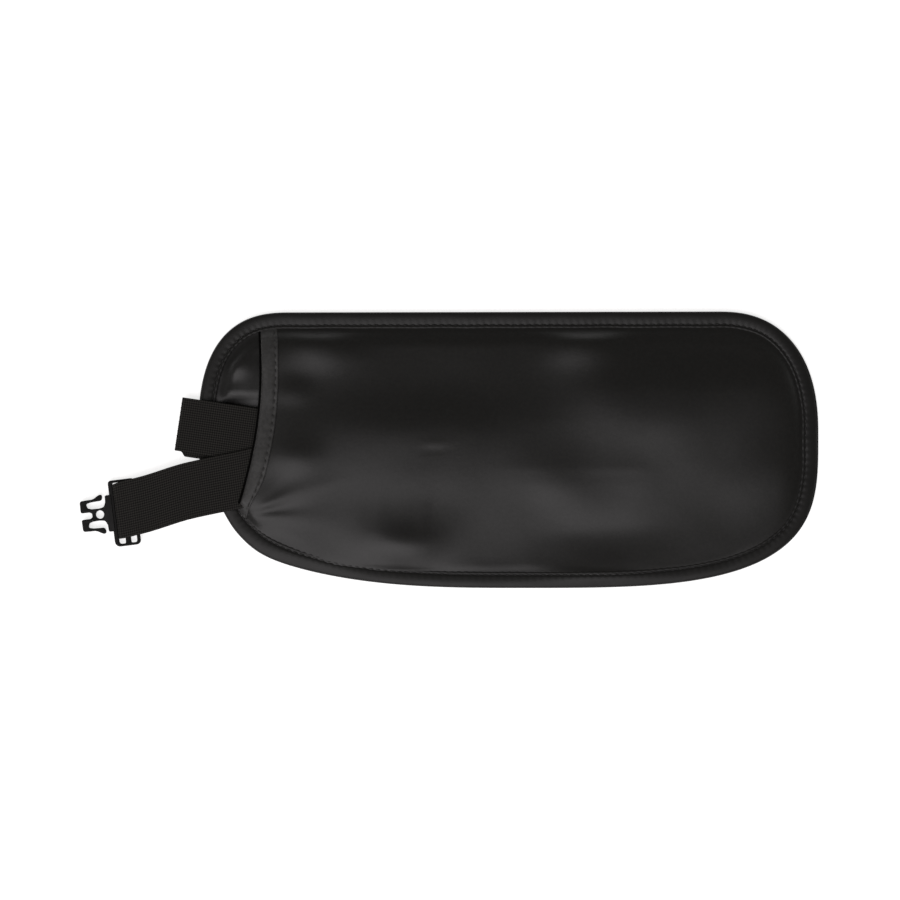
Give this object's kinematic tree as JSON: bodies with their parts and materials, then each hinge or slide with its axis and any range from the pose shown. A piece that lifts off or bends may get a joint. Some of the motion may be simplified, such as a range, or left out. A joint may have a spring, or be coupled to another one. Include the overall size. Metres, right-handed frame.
{
  "type": "money belt",
  "caption": "Flat satin travel waist pouch with bound edge, front zips, rear stow pocket and elastic belt with side-release buckle.",
  "frame": {"origin": "middle of the pouch on the flat underside of the lower front panel, the face it lies on", "axes": "+X along the pouch away from the pocket mouth, +Y up the pouch, +Z away from the surface it lies on"},
  "size_m": [0.3357, 0.1256, 0.007],
  "materials": {
    "satin": "black polyester satin, soft sheen",
    "lining": "thin black lining cloth",
    "binding": "folded black bias tape, stitched",
    "zip_tape": "woven black zip tape",
    "zip_coil": "black nylon coil",
    "zip_slider": "black lacquered zinc",
    "elastic": "black ribbed elastic webbing",
    "buckle_plastic": "moulded black acetal, satin"
  },
  "bodies": {
    "pouch": {"front_top_panel": "satin", "front_middle_panel": "satin", "front_lower_panel": "satin", "back_panel": "satin", "cover_panel": "satin", "mouth_hem": "satin", "divider_lining": "lining", "edge_binding": "binding", "upper_zip_coil_top": "zip_coil", "upper_zip_tape_top": "zip_tape", "upper_zip_coil_bottom": "zip_coil", "upper_zip_tape_bottom": "zip_tape", "lower_zip_coil_top": "zip_coil", "lower_zip_tape_top": "zip_tape", "lower_zip_coil_bottom": "zip_coil", "lower_zip_tape_bottom": "zip_tape", "strap_stowed_fold": "elastic", "strap_anchor_run": "elastic", "short_strap": "elastic", "female_buckle": "buckle_plastic"},
    "upper_slider": {"upper_zip_slider": "zip_slider"},
    "upper_pull": {"upper_zip_pull": "zip_slider"},
    "lower_slider": {"lower_zip_slider": "zip_slider"},
    "lower_pull": {"lower_zip_pull": "zip_slider"},
    "strap_run": {"strap_outer_run": "elastic"},
    "strap_end": {"strap_buckle_end": "elastic", "male_buckle": "buckle_plastic"},
    "arm_upper": {"male_buckle_arm_upper": "buckle_plastic"},
    "arm_lower": {"male_buckle_arm_lower": "buckle_plastic"},
    "strap_loop": {"strap_folded_loop": "elastic"}
  },
  "joints": [
    {"name": "upper_zip_slide", "type": "slide", "parent": "pouch", "child": "upper_slider", "axis": [-1, 0, 0], "range_m": [0, 0.19]},
    {"name": "upper_pull_hinge", "type": "hinge", "parent": "upper_slider", "child": "upper_pull", "pos_m": [0.103, 0.043, 0.00089], "axis": [0, -1, 0], "range_deg": [0, 150]},
    {"name": "lower_zip_slide", "type": "slide", "parent": "pouch", "child": "lower_slider", "axis": [-1, 0, 0], "range_m": [0, 0.2]},
    {"name": "lower_pull_hinge", "type": "hinge", "parent": "lower_slider", "child": "lower_pull", "pos_m": [0.103, 0.0286, 0.00089], "axis": [0, -1, 0], "range_deg": [0, 150]},
    {"name": "strap_pull", "type": "slide", "parent": "pouch", "child": "strap_run", "axis": [-0.9694, -0.2453, 0], "range_m": [0, 0.06]},
    {"name": "strap_flex", "type": "hinge", "parent": "strap_run", "child": "strap_end", "pos_m": [-0.15344, -0.02168, 0.00605], "axis": [-0.1236, 0.9923, 0], "range_deg": [0, 90]},
    {"name": "arm_upper_squeeze", "type": "hinge", "parent": "strap_end", "child": "arm_upper", "pos_m": [-0.19223, -0.02397, 0.0021], "axis": [0, 0, 1], "range_deg": [0, 10], "stiffness_Nm_per_rad": 0.05},
    {"name": "arm_lower_squeeze", "type": "hinge", "parent": "strap_end", "child": "arm_lower", "pos_m": [-0.1907, -0.03628, 0.0021], "axis": [0, 0, -1], "range_deg": [0, 10], "stiffness_Nm_per_rad": 0.05},
    {"name": "loop_pull", "type": "slide", "parent": "pouch", "child": "strap_loop", "axis": [-0.989, 0.1478, 0], "range_m": [0, 0.04]}
  ]
}
